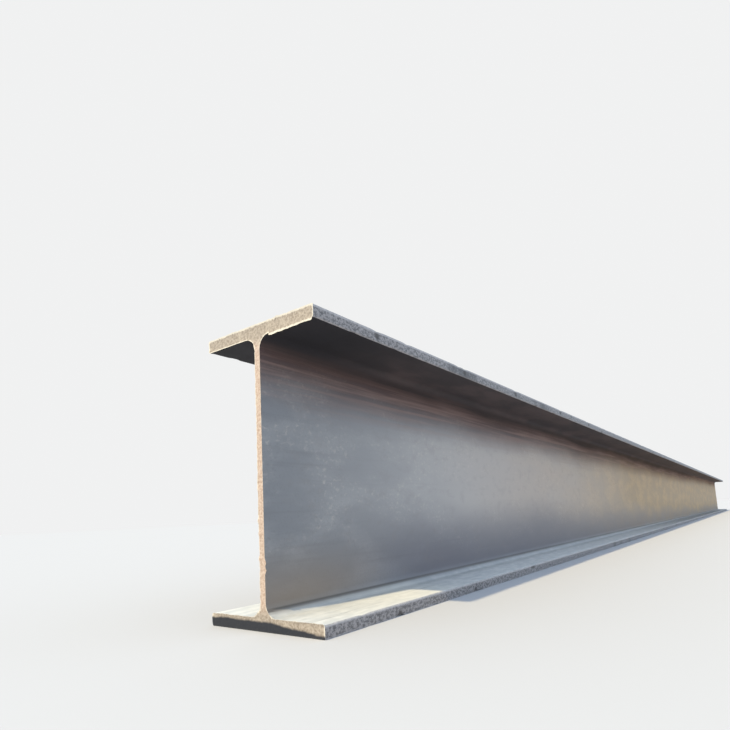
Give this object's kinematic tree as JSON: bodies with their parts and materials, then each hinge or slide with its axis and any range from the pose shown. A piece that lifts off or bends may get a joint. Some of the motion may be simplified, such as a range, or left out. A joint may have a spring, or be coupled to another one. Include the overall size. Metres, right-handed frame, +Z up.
{
  "type": "steel h-beam",
  "caption": "Straight hot-rolled steel wide-flange beam: two parallel flanges joined by an upright web with rounded roots, cut square at both ends.",
  "frame": {"origin": "middle of the beam's length, on the underside of the bottom flange, below the web", "axes": "+X along the beam, +Y across the flanges, +Z up the web"},
  "size_m": [12, 0.3, 0.59],
  "materials": {
    "rolled_steel": "as rolled, with blue-grey mill scale, light rust along the roots and bright cut ends"
  },
  "bodies": {
    "root": {"h_beam": "rolled_steel"}
  },
  "joints": []
}
